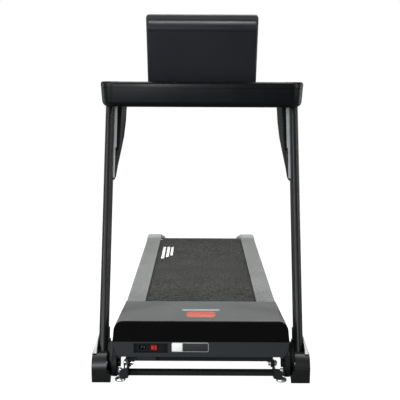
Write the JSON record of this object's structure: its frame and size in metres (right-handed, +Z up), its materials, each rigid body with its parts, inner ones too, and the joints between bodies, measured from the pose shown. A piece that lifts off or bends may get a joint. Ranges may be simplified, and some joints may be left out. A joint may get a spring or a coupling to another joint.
{
  "type": "treadmill",
  "caption": "Folding treadmill with a leaning upright frame, console and handrails, a motor-driven running deck that folds up, and transport wheels.",
  "frame": {"origin": "centre of the bounding box at floor level, deck down", "axes": "+Z up, +Y from the motor hood towards the rear of the running deck, +X to the right seen from the hood end"},
  "size_m": [0.77, 1.72, 1.2955],
  "materials": {
    "frame_black": "semi-gloss black powder coat",
    "upright_black": "satin black powder coat",
    "foot_zinc": "bright zinc",
    "zinc": "zinc plated",
    "cover_grey": "satin dark grey moulding",
    "inner_plastic": "textured black moulding",
    "silver_plastic": "silver painted plastic",
    "wheel_rubber": "hard black rubber",
    "bar_plastic": "satin black moulding",
    "strip_steel": "grey powder coat",
    "sensor_steel": "brushed stainless",
    "console_plastic": "fine textured dark grey moulding",
    "face_plastic": "satin black",
    "display_glass": "dark tinted window",
    "start_green": "soft green",
    "stop_red": "soft red",
    "key_grey": "soft grey key",
    "key_red": "red moulding",
    "board_wood": "phenolic faced MDF",
    "cushion_rubber": "black rubber",
    "belt_rubber": "finely textured charcoal running belt",
    "roller_steel": "turned steel",
    "pulley_steel": "turned",
    "rail_aluminium": "grey ribbed extrusion",
    "cap_plastic": "grey moulding",
    "foot_rubber": "black rubber",
    "motor_paint": "black paint",
    "drive_rubber": "black ribbed belt",
    "board_green": "board on an aluminium heat sink",
    "hood_silver": "dark silver painted plastic",
    "gloss_black": "high gloss black",
    "panel_plastic": "fine textured dark grey moulding",
    "socket_plastic": "black moulding",
    "switch_red": "red rocker",
    "screw_black": "blackened",
    "strut_paint": "black paint",
    "strut_chrome": "chromed rod"
  },
  "bodies": {
    "base": {"base_rail_left": "frame_black", "base_rail_right": "frame_black", "base_crossbars": "frame_black", "pivot_ears": "frame_black", "levelling_feet": "foot_zinc", "base_cover_left": "cover_grey", "base_cover_right": "cover_grey", "inner_covers": "inner_plastic", "side_fins": "silver_plastic", "upright_left": "upright_black", "upright_right": "upright_black", "frame_bolts": "zinc", "wheel_axles": "zinc", "console_bar": "bar_plastic", "handrail_left": "bar_plastic", "handrail_right": "bar_plastic", "handrail_strips": "strip_steel", "pulse_sensors": "sensor_steel", "console_housing": "console_plastic", "console_face": "face_plastic", "display_lens": "display_glass", "key_socket": "face_plastic", "strut_base_bracket": "frame_black"},
    "deck": {"deck_front_tube": "frame_black", "frame_tubes": "frame_black", "cross_members": "frame_black", "deck_board": "board_wood", "deck_cushions": "cushion_rubber", "running_belt": "belt_rubber", "roller_axles": "zinc", "side_rail_left": "rail_aluminium", "side_rail_right": "rail_aluminium", "end_cap_left": "cap_plastic", "end_cap_right": "cap_plastic", "rear_feet": "foot_rubber", "motor": "motor_paint", "drive_belt": "drive_rubber", "controller": "board_green", "hood_cover": "hood_silver", "front_panel": "gloss_black", "lower_panel": "panel_plastic", "socket_panel": "socket_plastic", "power_inlet": "socket_plastic", "hood_screws": "screw_black", "strut_deck_bracket": "frame_black"},
    "front_roller": {"front_roller": "roller_steel", "roller_pulley": "pulley_steel"},
    "rear_roller": {"rear_roller": "roller_steel"},
    "motor_rotor": {"motor_rotor": "pulley_steel"},
    "strut_cylinder": {"strut_cylinder": "strut_paint"},
    "strut_rod": {"strut_rod": "strut_chrome"},
    "wheel_left": {"wheel_left": "wheel_rubber"},
    "wheel_right": {"wheel_right": "wheel_rubber"},
    "rocker_switch": {"rocker_switch": "switch_red"},
    "reset_button": {"reset_button": "socket_plastic"},
    "start_button": {"start_button": "start_green"},
    "stop_button": {"stop_button": "stop_red"},
    "speed_up_button": {"speed_up_button": "key_grey"},
    "speed_down_button": {"speed_down_button": "key_grey"},
    "safety_key": {"safety_key": "key_red"}
  },
  "joints": [
    {"name": "deck_fold", "type": "hinge", "parent": "base", "child": "deck", "pos_m": [0, -0.785, 0.05], "axis": [1, 0, 0], "range_deg": [0, 60]},
    {"name": "strut_swing", "type": "hinge", "parent": "base", "child": "strut_cylinder", "pos_m": [-0.27, -0.74, 0.034], "axis": [1, 0, 0], "range_deg": [0, 63.05]},
    {"name": "strut_extend", "type": "slide", "parent": "strut_cylinder", "child": "strut_rod", "axis": [0, 0.9968, 0.0805], "range_m": [0, 0.03973]},
    {"name": "front_roller_spin", "type": "hinge", "parent": "deck", "child": "front_roller", "pos_m": [0, -0.56422, 0.15373], "axis": [1, 0, 0], "continuous": true},
    {"name": "rear_roller_spin", "type": "hinge", "parent": "deck", "child": "rear_roller", "pos_m": [0, 0.82175, 0.14406], "axis": [1, 0, 0], "continuous": true},
    {"name": "motor_spin", "type": "hinge", "parent": "deck", "child": "motor_rotor", "pos_m": [0, -0.71021, 0.15475], "axis": [1, 0, 0], "continuous": true},
    {"name": "wheel_left_spin", "type": "hinge", "parent": "base", "child": "wheel_left", "pos_m": [-0.353, -0.826, 0.027], "axis": [1, 0, 0], "continuous": true},
    {"name": "wheel_right_spin", "type": "hinge", "parent": "base", "child": "wheel_right", "pos_m": [0.353, -0.826, 0.027], "axis": [1, 0, 0], "continuous": true},
    {"name": "rocker_tilt", "type": "hinge", "parent": "deck", "child": "rocker_switch", "pos_m": [-0.165, -0.844, 0.1305], "axis": [0, 0, 1], "range_deg": [0, 10]},
    {"name": "reset_press", "type": "slide", "parent": "deck", "child": "reset_button", "axis": [0, 1, 0], "range_m": [0, 0.003], "stiffness_N_per_m": 500},
    {"name": "start_button_press", "type": "slide", "parent": "base", "child": "start_button", "axis": [0, -0.9336, -0.3584], "range_m": [0, 0.0015], "stiffness_N_per_m": 600},
    {"name": "stop_button_press", "type": "slide", "parent": "base", "child": "stop_button", "axis": [0, -0.9336, -0.3584], "range_m": [0, 0.0015], "stiffness_N_per_m": 600},
    {"name": "speed_up_button_press", "type": "slide", "parent": "base", "child": "speed_up_button", "axis": [0, -0.9336, -0.3584], "range_m": [0, 0.0015], "stiffness_N_per_m": 600},
    {"name": "speed_down_button_press", "type": "slide", "parent": "base", "child": "speed_down_button", "axis": [0, -0.9336, -0.3584], "range_m": [0, 0.0015], "stiffness_N_per_m": 600},
    {"name": "safety_key_pull", "type": "slide", "parent": "base", "child": "safety_key", "axis": [0, 0.9336, 0.3584], "range_m": [0, 0.02]}
  ],
  "couplings": [
    {"joint": "strut_swing", "follows": "deck_fold", "ratio": 1.0476},
    {"joint": "strut_extend", "follows": "deck_fold", "m_per_rad": 0.037651},
    {"joint": "rear_roller_spin", "follows": "front_roller_spin", "ratio": 1},
    {"joint": "motor_spin", "follows": "front_roller_spin", "ratio": 2}
  ]
}
